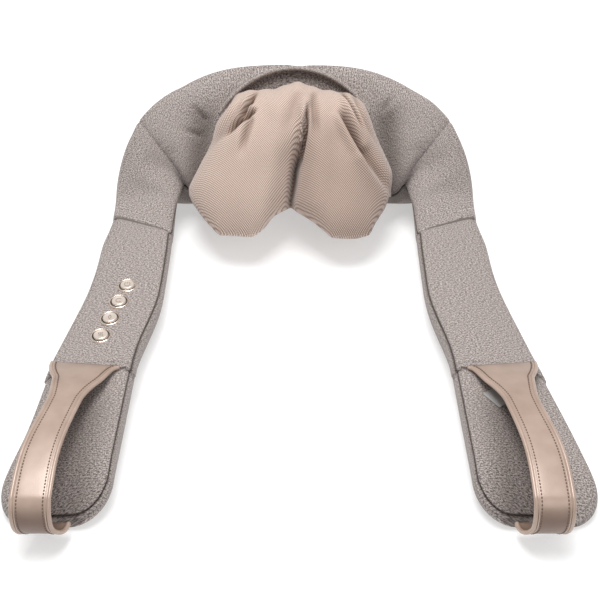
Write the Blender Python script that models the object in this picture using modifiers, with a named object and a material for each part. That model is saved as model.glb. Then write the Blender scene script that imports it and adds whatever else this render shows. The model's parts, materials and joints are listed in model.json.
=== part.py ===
"""Shiatsu neck massager: a padded U-shaped collar with two weighted arms, a geared massage unit and hand straps.

Metres, +Z up. The massager lies on its back: the arms point to -Y and the neck end leans up at +Y.
"""

import math

import bpy
import numpy as np

# The padded U
HALF_NECK = 0.200
HALF_INNER = 0.131
NECK_DEPTH = 0.118
HINGE_Y = 0.1155
HINGE_Z = 0.018
SHOULDER_Y = 0.125
ARM_END_Y = -0.250
INNER_HEIGHT = 0.039
OUTER_HEIGHT = 0.031
COLLAR_TOP = 0.161
BACK_BULGE = 0.029
PAD_END_ROUND = 0.010
INNER_SCOOP = 0.030
END_SLOPE = 0.050
END_SHARE = 0.38
CENTRE_Y = 0.00176

# The massage unit: x across, s up the leaning face, h out from the face
FACE_LEAN = math.radians(54.0)
FACE_FOOT = (0.0, 0.137, 0.012)
ROTOR_X = 0.0555
ROTOR_S = 0.068
GEAR_X = 0.015
GEAR_MODULE = 0.0015
ROTOR_TEETH = 34
SMALL_TEETH = 20
GEAR_TOP = -0.0085
GEAR_THICK = 0.008
TOOTH_SLACK = 0.80
CASE_HALF_WIDE = 0.108
CASE_LOW = 0.036
CASE_HIGH = 0.143
CASE_DEEP = 0.040
CASE_WALL = 0.0025
FRONT_THICK = 0.0030
SHAFT_RADIUS = 0.0040
AXLE_RADIUS = 0.0026
ARCH_HALF_WIDE = 0.105
ARCH_FOOT = 0.060
ARCH_RISE = 0.1135
NODE_ORBIT = 0.0245
NODE_BASE = 0.0165
COVER_HALF_WIDE = 0.117
COVER_LOW = 0.034
COVER_HIGH = 0.150
COVER_DROOP = 0.083
COVER_RISE = 0.074
COVER_THICK = 0.0035

# The controls on the left arm
FIRST_KEY = (-0.1673, 0.0132)
KEY_STEP = (-0.00545, -0.0237)
KEY_COUNT = 4
KEY_RADIUS = 0.0075
BEZEL_RADIUS = 0.0098
KEY_TRAVEL_GAP = 0.0012
PANEL_TOP = 0.0350

# The hand straps
STRAP_THICK = 0.0022
STRAP_WIDE = 0.0335
STRAP_ROOT_WIDE = 0.0605

GAP = 0.0005


def clear_scene():
    for obj in list(bpy.data.objects):
        bpy.data.objects.remove(obj, do_unlink=True)


def new_collection(name, helper=False):
    found = bpy.data.collections.new(name)
    bpy.context.scene.collection.children.link(found)
    found.hide_render = helper
    return found


def frame(name, location, lean=0.0, parent=None):
    empty = bpy.data.objects.new(name, None)
    empty.location = location
    empty.rotation_euler = (lean, 0.0, 0.0)
    empty.parent = parent
    empty.empty_display_size = 0.02
    PARTS.objects.link(empty)
    return empty


def paint(obj, colour, metallic=0.0, roughness=0.6):
    material = bpy.data.materials.new(obj.name + "_material")
    material.use_nodes = True
    shader = material.node_tree.nodes["Principled BSDF"]
    shader.inputs["Base Color"].default_value = (*colour, 1.0)
    shader.inputs["Metallic"].default_value = metallic
    shader.inputs["Roughness"].default_value = roughness
    obj.data.materials.append(material)


def solid(name, points, faces, parent, location=(0.0, 0.0, 0.0), helper=False):
    """A mesh object whose origin is at location, with points given from that origin."""
    mesh = bpy.data.meshes.new(name)
    mesh.from_pydata([tuple(map(float, p)) for p in points], [], faces)
    mesh.update()
    obj = bpy.data.objects.new(name, mesh)
    obj.parent = parent
    obj.location = location
    (CUTTERS if helper else PARTS).objects.link(obj)
    if helper:
        obj.hide_render = True
        obj.display_type = "WIRE"
    return obj


def box(name, size, parent, location, helper=False, turn=0.0, round_edge=0.0):
    sx, sy, sz = (0.5 * v for v in size)
    corners = [(x, y, z) for z in (-sz, sz) for x, y in ((-sx, -sy), (sx, -sy), (sx, sy), (-sx, sy))]
    faces = [(3, 2, 1, 0), (4, 5, 6, 7), (0, 1, 5, 4), (1, 2, 6, 5), (2, 3, 7, 6), (3, 0, 4, 7)]
    obj = solid(name, corners, faces, parent, location, helper)
    obj.rotation_euler = (0.0, 0.0, turn)
    if round_edge:
        bevel = obj.modifiers.new("round", "BEVEL")
        bevel.width = round_edge
        bevel.segments = 2
    return obj


def turned(name, profile, steps, parent, location, closed=False, helper=False):
    """A piece turned about its own Z axis from (radius, height) points that run down its outer side."""
    points = [(r, 0.0, z) for r, z in profile]
    mesh = bpy.data.meshes.new(name)
    edges = [(k, k + 1) for k in range(len(points) - 1)]
    if closed:
        edges.append((len(points) - 1, 0))
    mesh.from_pydata(points, edges, [])
    obj = bpy.data.objects.new(name, mesh)
    obj.parent = parent
    obj.location = location
    (CUTTERS if helper else PARTS).objects.link(obj)
    screw = obj.modifiers.new("turn", "SCREW")
    screw.steps = steps
    screw.render_steps = steps
    screw.use_merge_vertices = True
    screw.merge_threshold = 0.00002
    screw.use_smooth_shade = False
    if helper:
        obj.hide_render = True
        obj.display_type = "WIRE"
    return obj


def rod(name, radius, low, high, parent, x, y, steps=16, helper=False, location_z=0.0):
    profile = [(0.0, high), (radius, high), (radius, low), (0.0, low)]
    return turned(name, profile, steps, parent, (x, y, location_z), helper=helper)


def prism(name, outline, low, high, parent, location=(0.0, 0.0, 0.0), helper=False):
    """A straight prism on a closed outline that runs anticlockwise seen from above."""
    count = len(outline)
    points = [(x, y, z) for z in (low, high) for x, y in outline]
    faces = [tuple(range(count - 1, -1, -1)), tuple(range(count, 2 * count))]
    faces += [(k, (k + 1) % count, count + (k + 1) % count, count + k) for k in range(count)]
    return solid(name, points, faces, parent, location, helper)


def loft(name, sections, parent, location=(0.0, 0.0, 0.0), helper=False):
    """A closed solid through rings of equal length, with flat ends, turned so that its faces point outwards."""
    rings = np.asarray(sections, float) - np.asarray(location, float)
    layers, count = rings.shape[:2]
    j, k = np.meshgrid(np.arange(layers - 1), np.arange(count), indexing="ij")
    base, after = j * count, (k + 1) % count
    quads = np.stack((base + k, base + after, base + count + after, base + count + k), axis=-1).reshape(-1, 4)
    points = rings.reshape(-1, 3)
    a, b, c, d = (points[quads[:, n]] - points.mean(axis=0) for n in range(4))
    volume = np.einsum("ij,ij->", a, np.cross(b, c)) + np.einsum("ij,ij->", a, np.cross(c, d))
    faces = [tuple(map(int, q)) for q in quads]
    faces += [tuple(range(count - 1, -1, -1)), tuple(range((layers - 1) * count, layers * count))]
    if volume < 0.0:
        faces = [face[::-1] for face in faces]
    return solid(name, points, faces, parent, location, helper)


def cut(target, cutter):
    boolean = target.modifiers.new("cut_" + cutter.name, "BOOLEAN")
    boolean.operation = "DIFFERENCE"
    boolean.solver = "EXACT"
    boolean.object = cutter


def soft_max(a, b, blend):
    return 0.5 * (a + b + math.sqrt((a - b) ** 2 + blend**2))


def smooth_step(value):
    value = min(max(value, 0.0), 1.0)
    return value * value * (3.0 - 2.0 * value)


def bell(value):
    return math.exp(-(value**2))


def rounded_loop(points):
    """One corner-cutting pass round a closed loop."""
    points = np.asarray(points, float)
    after = np.roll(points, -1, axis=0)
    return np.stack((0.75 * points + 0.25 * after, 0.25 * points + 0.75 * after), axis=1).reshape(-1, 2)


def pad_profile(width, inner_high, outer_high, bulge, undercut):
    """The pad's section as (distance from its inner edge, height) points: sloping face, full back, flat foot."""
    top = lambda t: (t * width, inner_high + (outer_high - inner_high) * t)
    loop = [
        (0.40 * (undercut - 0.010), 0.45 * inner_high),
        (0.0, inner_high - 0.004),
        top(0.10),
        top(0.50),
        top(0.92),
        (width, outer_high - 0.004),
        (width + 0.75 * bulge, 0.60 * outer_high),
        (width + 0.9 * bulge, 0.30 * outer_high),
        (width + 0.5 * bulge - 0.002, 0.0),
        (max(0.6 * width, undercut + 0.012), 0.0),
        (undercut, 0.0),
    ]
    return rounded_loop(loop)


def squeeze_end(profile, depth):
    """Rounds the end of a cushion: within PAD_END_ROUND of its end the section shrinks about its middle."""
    if depth >= PAD_END_ROUND:
        return profile
    keep = 0.55 + 0.45 * math.sqrt(1.0 - (1.0 - depth / PAD_END_ROUND) ** 2)
    profile = profile.copy()
    middle = 0.45 * (profile[:, 1].max() + profile[:, 1].min())
    profile[:, 1] = middle + (profile[:, 1] - middle) * keep
    return profile


def neck_edges(turn):
    """Plan points of the inner and outer edge and their heights, at an angle round the collar."""
    c, s = abs(math.cos(turn)), math.sin(turn)
    side = 1.0 if math.cos(turn) >= 0.0 else -1.0
    outer = (side * HALF_NECK * c**0.71, SHOULDER_Y + NECK_DEPTH * s**0.71)
    scoop = INNER_SCOOP * bell((s - 0.48) / 0.16) * smooth_step(s / 0.25)
    inner = (side * HALF_INNER * c**0.55, SHOULDER_Y + 0.030 * s**0.8 + scoop)
    rising = COLLAR_TOP - (SHOULDER_Y + NECK_DEPTH - outer[1]) * math.tan(FACE_LEAN)
    outer_high = soft_max(OUTER_HEIGHT, rising, 0.02)
    inner_high = INNER_HEIGHT + 0.012 * abs(math.sin(2.0 * turn)) - 0.002 * s
    return np.array(inner), np.array(outer), inner_high, outer_high


def neck_section(turn):
    inner, outer, inner_high, outer_high = neck_edges(turn)
    width = np.linalg.norm(outer - inner)
    way = (outer - inner) / width
    bulge = 0.004 + (BACK_BULGE - 0.004) * smooth_step(math.sin(turn) * 1.15)
    undercut = 0.010 + 0.041 * smooth_step(math.sin(turn))
    profile = pad_profile(width, inner_high, outer_high, bulge, undercut)
    return np.column_stack((inner + profile[:, :1] * way, profile[:, 1]))


def arm_edges(y):
    inner = HALF_INNER + 0.001 + 0.016 * smooth_step((0.01 - y) / 0.11) + 0.03 * max(0.0, -0.10 - y)
    outer = 0.2015 + 0.19 * soft_max(0.0, 0.045 - y, 0.05) - 0.0025 * bell((y - 0.02) / 0.06)
    outer -= 0.0025 * smooth_step((-0.06 - y) / 0.12) + 0.0050 * smooth_step((y - 0.075) / 0.040)
    past = max(0.0, ARM_END_Y + 0.034 - y) / 0.034
    inward = 0.030 * (1.0 - math.sqrt(max(0.0, 1.0 - past**2)))
    return inner + inward, outer - 1.15 * inward


def arm_section(y, depth):
    inner, outer = arm_edges(y)
    lean = 0.5 * smooth_step((0.12 - y) / 0.3)
    profile = pad_profile(outer - inner, INNER_HEIGHT + 0.004 * lean, OUTER_HEIGHT - 0.002 * lean, 0.004, 0.010)
    past = min(max((y - ARM_END_Y) / END_SLOPE, 0.0), 1.0)
    profile[:, 1] *= END_SHARE + (1.0 - END_SHARE) * math.sin(0.5 * math.pi * past) ** 0.9
    profile = squeeze_end(profile, depth)
    return np.column_stack((inner + profile[:, 0], np.full(len(profile), y), profile[:, 1]))


def mirrored(section):
    return section * np.array((-1.0, 1.0, 1.0))


def neck_pad(root):
    ends = []
    for depth in (0.0, 0.0025, 0.006):
        y = HINGE_Y + 0.001 + depth
        ends.append(arm_section(y, depth))
    turns = [math.pi * k / 24 for k in range(25)]
    sections = ends + [neck_section(t) for t in turns] + [mirrored(e) for e in reversed(ends)]
    pad = loft("neck_pad", sections, root)
    paint(pad, (0.42, 0.42, 0.44), roughness=0.9)
    return pad


def arm_pad(side, root):
    depths = [0.0, 0.0025, 0.006, 0.010]
    ys = [HINGE_Y - 0.001 - d for d in depths]
    ys += list(np.linspace(0.085, ARM_END_Y + 0.042, 10)) + [ARM_END_Y + d for d in (0.033, 0.025, 0.018, 0.012, 0.006, 0.001)]
    sections = []
    for k, y in enumerate(ys):
        depth = min(HINGE_Y - 0.001 - y, 0.001 + y - ARM_END_Y)
        sections.append(arm_section(y, depth))
    if side < 0:
        sections = [mirrored(s) for s in sections]
    name = "arm_pad_left" if side < 0 else "arm_pad_right"
    pad = loft(name, sections, root, (side * 0.166, HINGE_Y, HINGE_Z))
    paint(pad, (0.42, 0.42, 0.44), roughness=0.9)
    return pad


def case_outline(grow=0.0):
    """The massage unit's rounded outline in x and s."""
    half = CASE_HALF_WIDE + grow
    low, high = CASE_LOW - grow, CASE_HIGH + grow
    radius = 0.030 + grow
    points = []
    for cx, cy, start in (
        (half - radius, high - radius, 0.0),
        (-half + radius, high - radius, 90.0),
        (-half + radius, low + radius, 180.0),
        (half - radius, low + radius, 270.0),
    ):
        for k in range(5):
            a = math.radians(start + 22.5 * k)
            points.append((cx + radius * math.cos(a), cy + radius * math.sin(a)))
    return points


def rear_housing(face, pad):
    shell = prism("rear_housing", case_outline(-GAP), -CASE_DEEP, -FRONT_THICK - GAP, face)
    hollow = prism("housing_hollow", case_outline(-CASE_WALL - GAP), -CASE_DEEP + CASE_WALL, 0.01, face, helper=True)
    pocket = prism("housing_pocket", case_outline(), -CASE_DEEP - GAP, 0.02, face, helper=True)
    cut(shell, hollow)
    cut(pad, pocket)
    paint(shell, (0.10, 0.10, 0.11), roughness=0.5)
    return shell


def front_housing(face):
    plate = prism("front_housing", case_outline(-GAP), -FRONT_THICK, 0.0, face)
    for k, x in enumerate((-ROTOR_X, ROTOR_X)):
        cut(plate, rod("bearing_hole_" + "ab"[k], 0.0080, -0.02, 0.02, face, x, ROTOR_S, 24, helper=True))
    for k, (x, s) in enumerate(screw_places()):
        cut(plate, rod("screw_hole_%d" % (k + 1), 0.0021, -0.02, 0.02, face, x, s, 12, helper=True))
    paint(plate, (0.13, 0.13, 0.14), roughness=0.5)
    return plate


def screw_places():
    return [(x, s) for x in (-0.089, 0.089) for s in (CASE_LOW + 0.014, CASE_LOW + 0.052)]


def housing_bosses(face):
    """Posts that stand on the housing floor and take the case screws."""
    for k, (x, s) in enumerate(screw_places()):
        low, high = -CASE_DEEP + CASE_WALL + GAP, -FRONT_THICK - GAP
        name = "screw_post_%d" % (k + 1)
        profile = [(0.0017, high), (0.0042, high), (0.0042, low), (0.0, low), (0.0, -0.018), (0.0017, -0.018)]
        post = turned(name, profile[::1], 12, face, (x, s, 0.0), closed=True)
        paint(post, (0.12, 0.12, 0.13))


def case_screws(face):
    for k, (x, s) in enumerate(screw_places()):
        profile = [(0.0, 0.0019), (0.0026, 0.0019), (0.0034, 0.0010), (0.0034, 0.0003)]
        profile += [(0.0013, 0.0003), (0.0013, -0.014), (0.0, -0.015)]
        screw = turned("case_screw_%d" % (k + 1), profile, 12, face, (x, s, 0.0))
        paint(screw, (0.45, 0.45, 0.47), 0.9, 0.35)


def gear_outline(teeth, phase):
    radius = 0.5 * GEAR_MODULE * teeth
    tip, root = radius + 0.9 * GEAR_MODULE, radius - 1.15 * GEAR_MODULE
    half = 0.25 * math.pi * GEAR_MODULE * TOOTH_SLACK
    root_half = (half + 0.345 * GEAR_MODULE) / root
    tip_half = (half - 0.36 * GEAR_MODULE) / tip
    points = []
    for k in range(teeth):
        middle = phase + 2.0 * math.pi * k / teeth
        for turn, r in ((-root_half, root), (-tip_half, tip), (tip_half, tip), (root_half, root)):
            points.append((r * math.cos(middle + turn), r * math.sin(middle + turn)))
    return points


def gear(name, teeth, phase, x, bore, face):
    wheel = prism(name, gear_outline(teeth, phase), -GEAR_THICK, 0.0, face, (x, ROTOR_S, GEAR_TOP))
    cut(wheel, rod(name + "_bore", bore, -0.03, 0.02, face, x, ROTOR_S, 16, helper=True))
    paint(wheel, (0.85, 0.84, 0.80), roughness=0.45)
    return wheel


def gear_train(face):
    gear("rotor_gear_left", ROTOR_TEETH, 0.0, -ROTOR_X, SHAFT_RADIUS + GAP, face)
    gear("drive_gear", SMALL_TEETH, math.pi / SMALL_TEETH, -GEAR_X, SHAFT_RADIUS - 0.001 + GAP, face)
    gear("idler_gear", SMALL_TEETH, 0.0, GEAR_X, SHAFT_RADIUS - 0.001 + GAP, face)
    gear("rotor_gear_right", ROTOR_TEETH, math.pi / ROTOR_TEETH, ROTOR_X, SHAFT_RADIUS + GAP, face)
    pin = rod("idler_axle", SHAFT_RADIUS - 0.001, -CASE_DEEP + CASE_WALL + GAP, -FRONT_THICK - GAP, face, GEAR_X, ROTOR_S)
    paint(pin, (0.6, 0.6, 0.62), 1.0, 0.3)
    shaft = rod("drive_shaft", SHAFT_RADIUS - 0.001, -0.0175, -FRONT_THICK - 0.001, face, -GEAR_X, ROTOR_S)
    paint(shaft, (0.6, 0.6, 0.62), 1.0, 0.3)


def motor(face):
    case = box("gearbox_case", (0.036, 0.076, 0.018), face, (-0.016, 0.0935, -0.0275), round_edge=0.0015)
    paint(case, (0.20, 0.20, 0.21), roughness=0.5)
    can = rod("motor_can", 0.0125, 0.0, 0.047, face, 0.003, 0.1180, 24, location_z=-0.0235)
    can.rotation_euler = (0.0, math.radians(90.0), 0.0)
    paint(can, (0.62, 0.62, 0.63), 1.0, 0.32)


def boards(face):
    board = box("main_board", (0.040, 0.044, 0.0016), face, (-0.0600, ROTOR_S + 0.006, -0.0340))
    paint(board, (0.03, 0.22, 0.10), roughness=0.4)
    lamp = turned(
        "heat_lamp",
        [(0.0, 0.0060), (0.0030, 0.0052), (0.0046, 0.0030), (0.0050, 0.0004), (0.0, 0.0004)],
        16,
        face,
        (0.0, ROTOR_S, 0.0),
    )
    paint(lamp, (0.55, 0.05, 0.04), roughness=0.15)


def rotor(name, x, face):
    """A bearing in the front plate, then the turning shaft, its arm and the arm's two axles."""
    profile = [(SHAFT_RADIUS + GAP, 0.0035), (0.0100, 0.0035), (0.0100, GAP), (0.0075, GAP)]
    profile += [(0.0075, -FRONT_THICK - 0.002), (SHAFT_RADIUS + GAP, -FRONT_THICK - 0.002)]
    bush = turned("bearing_" + name, profile, 24, face, (x, ROTOR_S, 0.0), closed=True)
    paint(bush, (0.55, 0.45, 0.25), 1.0, 0.35)
    shaft = rod("output_shaft_" + name, SHAFT_RADIUS, -0.030, 0.0075, face, x, ROTOR_S)
    paint(shaft, (0.6, 0.6, 0.62), 1.0, 0.3)
    outline = []
    for k in range(24):
        a = 2.0 * math.pi * k / 24
        end = NODE_ORBIT if math.sin(a) > 0 else -NODE_ORBIT
        outline.append((0.0095 * math.cos(a), end + 0.0095 * math.sin(a)))
    arm = prism("rotor_arm_" + name, outline, 0.0080, 0.0130, face, (x, ROTOR_S, 0.0))
    paint(arm, (0.16, 0.16, 0.17), roughness=0.5)
    for level, way in (("upper", 1.0), ("lower", -1.0)):
        s = ROTOR_S + way * NODE_ORBIT
        axle = rod("node_axle_%s_%s" % (name, level), AXLE_RADIUS, 0.0134, 0.040, face, x, s)
        paint(axle, (0.6, 0.6, 0.62), 1.0, 0.3)
        massage_node("massage_node_%s_%s" % (name, level), 0.0180 if way < 0 else 0.0170, x, s, face)


def massage_node(name, radius, x, s, face):
    """A ribbed dome that turns freely on its axle; the axle hole is open underneath."""
    bore = AXLE_RADIUS + GAP
    high = NODE_BASE + 1.95 * radius
    profile = [(0.0, high)]
    for k in range(1, 7):
        a = math.radians(15.0 * k)
        profile.append((radius * math.sin(a) ** 0.9, NODE_BASE + 0.85 * radius + 1.1 * radius * math.cos(a)))
    profile += [(0.86 * radius, NODE_BASE + 0.25 * radius), (0.62 * radius, NODE_BASE)]
    profile += [(bore, NODE_BASE), (bore, 0.0405), (0.0, 0.0405)]
    node = turned(name, profile, 20, face, (x, s, 0.0))
    paint(node, (0.28, 0.28, 0.30), roughness=0.55)


def cover_ring(x, shrink, base):
    """One arched section of the padded cover over the massage nodes; its two lobes hang below the face."""
    half_wide, rise = COVER_HALF_WIDE - shrink, COVER_RISE - shrink
    keep = (1.0 - min(abs(x) / half_wide, 0.999) ** 3.0) ** (1.0 / 2.6)
    cleft = 1.0 - 0.42 * math.exp(-((x / 0.0075) ** 2))
    droop = COVER_DROOP * (1.0 - math.exp(-((abs(x) / 0.020) ** 1.6))) * keep
    high = COVER_HIGH - shrink - 0.085 * (max(0.0, abs(x) - 0.050) / 0.067) ** 1.5
    low = COVER_LOW + shrink
    middle, half = 0.5 * (high + low), 0.5 * (high - low)
    ring = []
    for k in range(17):
        a = math.pi * k / 16
        c, t = math.cos(a), math.sin(a)
        s = middle + half * math.copysign(abs(c) ** 0.72, c) - droop * t**0.8 * 0.5 * (1.0 - c)
        ring.append((x, s, base + (rise * keep * cleft) * t**0.78))
    return np.array(ring)


def cover_solid(name, shrink, base, low, face, helper):
    reach = COVER_HALF_WIDE - shrink
    fractions = (0.985, 0.95, 0.88, 0.76, 0.62, 0.46, 0.30, 0.18, 0.10, 0.05)
    xs = [-f * reach for f in fractions] + [0.0] + [f * reach for f in reversed(fractions)]
    sections = []
    for x in xs:
        ring = cover_ring(x, shrink, base)
        foot = [(x, ring[-1][1], low), (x, ring[0][1], low)]
        sections.append(np.vstack((ring, foot)))
    return loft(name, sections, face, helper=helper)


def massage_cover(face, pad):
    cover = cover_solid("massage_cover", 0.0, GAP + 0.002, GAP, face, False)
    hollow = cover_solid("cover_hollow", COVER_THICK, 0.0015, -0.012, face, True)
    room = cover_solid("cover_room", -0.0008, 0.002, -0.0002, face, True)
    cut(cover, hollow)
    cut(pad, room)
    paint(cover, (0.72, 0.62, 0.50), roughness=0.8)
    return cover


def tube(name, path, radius, sides, parent, helper=False):
    """A round cord along an open path, capped at both ends."""
    path = np.asarray(path, float)
    ways = np.gradient(path, axis=0)
    ways /= np.linalg.norm(ways, axis=1)[:, None]
    rings = []
    for point, way in zip(path, ways):
        out = np.cross(way, (0.0, 0.0, 1.0))
        out /= np.linalg.norm(out)
        up = np.cross(out, way)
        turns = [2.0 * math.pi * k / sides for k in range(sides)]
        rings.append([point + radius * (math.cos(a) * out + math.sin(a) * up) for a in turns])
    return loft(name, rings, parent, helper=helper)


def arch_hem(face, pad):
    """The piped rim of the collar's opening, half sunk in the pad round the massage cover."""
    path = []
    for k in range(17):
        a = math.radians(27.0 + 126.0 * k / 16)
        side, up = math.cos(a), math.sin(a)
        path.append((ARCH_HALF_WIDE * side, ARCH_FOOT + ARCH_RISE * up, 0.0050 + 0.003 * side**2))
    hem = tube("arch_hem", path, 0.0028, 6, face)
    cut(pad, tube("hem_channel", path, 0.0033, 6, face, helper=True))
    paint(hem, (0.42, 0.42, 0.44), roughness=0.8)
    return hem


def key_places():
    return [(FIRST_KEY[0] + k * KEY_STEP[0], FIRST_KEY[1] + k * KEY_STEP[1]) for k in range(KEY_COUNT)]


def controls(root, pad):
    places = key_places()
    mid_x = 0.5 * (places[0][0] + places[-1][0])
    mid_y = 0.5 * (places[0][1] + places[-1][1])
    turn = math.atan2(KEY_STEP[0], -KEY_STEP[1])
    size = (0.030, 0.104)
    pocket = box("control_pocket", (size[0] + 0.001, size[1] + 0.001, 0.044), root, (mid_x, mid_y, 0.0355), True, turn)
    cut(pad, pocket)
    base = box("control_base", (size[0], size[1], 0.0125), root, (mid_x, mid_y, 0.0205), turn=turn)
    cut(base, box("control_hollow", (size[0] - 0.004, size[1] - 0.004, 0.02), root, (mid_x, mid_y, 0.0265), True, turn))
    paint(base, (0.10, 0.10, 0.11))
    board = box("key_board", (size[0] - 0.006, size[1] - 0.006, 0.0016), root, (mid_x, mid_y, 0.0180), turn=turn)
    paint(board, (0.03, 0.22, 0.10), roughness=0.4)
    lid = box("control_lid", (size[0], size[1], 0.0020), root, (mid_x, mid_y, 0.0282), turn=turn)
    paint(lid, (0.12, 0.12, 0.13))
    for k, (x, y) in enumerate(places):
        cut(lid, rod("key_hole_%d" % (k + 1), 0.0062, -0.01, 0.01, root, x, y, 20, helper=True, location_z=0.0282))
        bezel(k + 1, x, y, root)
        key(k + 1, x, y, root)


def bezel(number, x, y, root):
    inner = KEY_RADIUS + 0.0004
    profile = [(inner, 0.0378), (inner + 0.0006, 0.0384), (BEZEL_RADIUS - 0.0006, 0.0382), (BEZEL_RADIUS, 0.0374)]
    profile += [(BEZEL_RADIUS, 0.0296), (inner, 0.0296)]
    ring = turned("bezel_%d" % number, profile, 28, root, (x, y, 0.0), closed=True)
    paint(ring, (0.80, 0.66, 0.55), 1.0, 0.25)


def key(number, x, y, root):
    foot = 0.0189
    profile = [(0.0, 0.0400), (KEY_RADIUS - 0.0022, 0.0398), (KEY_RADIUS - 0.0006, 0.0391), (KEY_RADIUS, 0.0380)]
    profile += [(KEY_RADIUS, 0.0305), (0.0055, 0.0305), (0.0055, foot + KEY_TRAVEL_GAP), (0.0, foot + KEY_TRAVEL_GAP)]
    cap = turned("button_%d" % number, [(r, z - 0.0400) for r, z in profile], 28, root, (x, y, 0.0400))
    paint(cap, (0.78, 0.70, 0.62), roughness=0.4)


def strap_path(side, t):
    """Centre of the strap: up off the pad's top, along above it, then round the end of the pad."""
    if t < 0.72:
        q = t / 0.72
        y = -0.102 - 0.1565 * q
        z = 0.0395 + 0.0172 * q + 0.056 * q * (1.0 - q)
    else:
        b = math.radians(20.0 + 160.0 * (t - 0.72) / 0.28)
        y = -0.2523 - 0.0182 * math.sin(b)
        z = 0.0360 + 0.0220 * math.cos(b)
    x = 0.1880 + 0.0200 * math.sin(0.5 * math.pi * min(1.0, t / 0.65)) - 0.008 * smooth_step((t - 0.85) / 0.15)
    return np.array((side * x, y, z))


def hand_strap(side, root):
    rings = []
    count = 22
    for k in range(count + 1):
        t = k / count
        here, ahead, behind = strap_path(side, t), strap_path(side, min(1.0, t + 0.01)), strap_path(side, max(0.0, t - 0.01))
        way = (ahead - behind) / np.linalg.norm(ahead - behind)
        across = np.array((1.0, 0.0, 0.0)) - way * way[0]
        across /= np.linalg.norm(across)
        up = np.cross(across, way)
        up = up if k == 0 or np.dot(up, last) > 0 else -up
        last = up
        half = 0.5 * (STRAP_WIDE + (STRAP_ROOT_WIDE - STRAP_WIDE) * (1.0 - min(t / 0.28, 1.0)) ** 1.6)
        thick = 0.5 * STRAP_THICK
        rings.append([here + a * half * across + b * thick * up for a, b in ((-1, -1), (1, -1), (1, 1), (-1, 1))])
    name = "hand_strap_left" if side < 0 else "hand_strap_right"
    strap = loft(name, rings, root, (side * 0.166, HINGE_Y, HINGE_Z))
    paint(strap, (0.70, 0.52, 0.44), 0.3, 0.35)
    return strap


def care_label(root):
    label = box("care_label", (0.013, 0.020, 0.0006), root, (0.181, -0.139, 0.0408), turn=math.radians(38.0))
    paint(label, (0.85, 0.84, 0.90), roughness=0.5)


def power_socket(root, pad):
    """The low-voltage inlet, set in the lower back of the collar."""
    place = (0.058, 0.2480, 0.030)
    profile = [(0.0026, 0.012), (0.0062, 0.012), (0.0062, 0.0), (0.0, 0.0), (0.0, 0.0018), (0.0026, 0.0018)]
    barrel = turned("power_socket", profile, 20, root, place, closed=True)
    barrel.rotation_euler = (math.radians(-90.0), 0.0, 0.0)
    paint(barrel, (0.05, 0.05, 0.055), roughness=0.35)
    room = rod("socket_room", 0.0068, -0.0006, 0.06, root, place[0], place[1], 20, helper=True, location_z=place[2])
    room.rotation_euler = (math.radians(-90.0), 0.0, 0.0)
    cut(pad, room)


clear_scene()
PARTS = new_collection("shiatsu_neck_massager")
CUTTERS = new_collection("cutters", helper=True)
ROOT = frame("massager_frame", (0.0, CENTRE_Y, 0.0))
FACE = frame("massage_face", FACE_FOOT, FACE_LEAN, ROOT)

NECK = neck_pad(ROOT)
ARM_LEFT = arm_pad(-1.0, ROOT)
ARM_RIGHT = arm_pad(1.0, ROOT)
rear_housing(FACE, NECK)
front_housing(FACE)
housing_bosses(FACE)
case_screws(FACE)
gear_train(FACE)
motor(FACE)
boards(FACE)
rotor("left", -ROTOR_X, FACE)
rotor("right", ROTOR_X, FACE)
massage_cover(FACE, NECK)
arch_hem(FACE, NECK)
controls(ROOT, ARM_LEFT)
hand_strap(-1.0, ROOT)
hand_strap(1.0, ROOT)
care_label(ROOT)
power_socket(ROOT, NECK)
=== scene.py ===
"""A U-shaped neck massager: a collar and two weighted arms in grey melange cloth, two kneading lobes under a
beige mesh cover, leather hand straps and four round keys. Metres, +Z up, arms towards -Y."""

import json
import math

import bpy
import numpy as np
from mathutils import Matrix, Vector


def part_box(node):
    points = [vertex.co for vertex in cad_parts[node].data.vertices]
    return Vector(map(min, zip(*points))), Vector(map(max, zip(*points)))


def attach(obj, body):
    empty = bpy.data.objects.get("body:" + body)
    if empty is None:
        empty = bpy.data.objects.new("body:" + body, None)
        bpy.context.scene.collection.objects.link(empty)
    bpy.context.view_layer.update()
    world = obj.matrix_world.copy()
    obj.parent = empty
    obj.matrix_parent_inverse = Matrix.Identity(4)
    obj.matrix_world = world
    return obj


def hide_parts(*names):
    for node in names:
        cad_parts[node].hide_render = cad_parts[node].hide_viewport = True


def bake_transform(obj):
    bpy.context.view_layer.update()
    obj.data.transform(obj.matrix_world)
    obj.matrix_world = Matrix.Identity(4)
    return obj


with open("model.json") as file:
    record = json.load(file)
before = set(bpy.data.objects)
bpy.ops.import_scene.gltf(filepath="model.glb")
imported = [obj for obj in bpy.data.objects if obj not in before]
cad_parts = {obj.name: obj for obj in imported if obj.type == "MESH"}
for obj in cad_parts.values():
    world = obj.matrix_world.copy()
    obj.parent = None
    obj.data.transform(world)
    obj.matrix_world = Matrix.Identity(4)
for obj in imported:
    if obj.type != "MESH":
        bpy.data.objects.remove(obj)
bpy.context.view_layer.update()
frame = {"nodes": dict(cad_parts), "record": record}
nodes = frame["nodes"]


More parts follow.
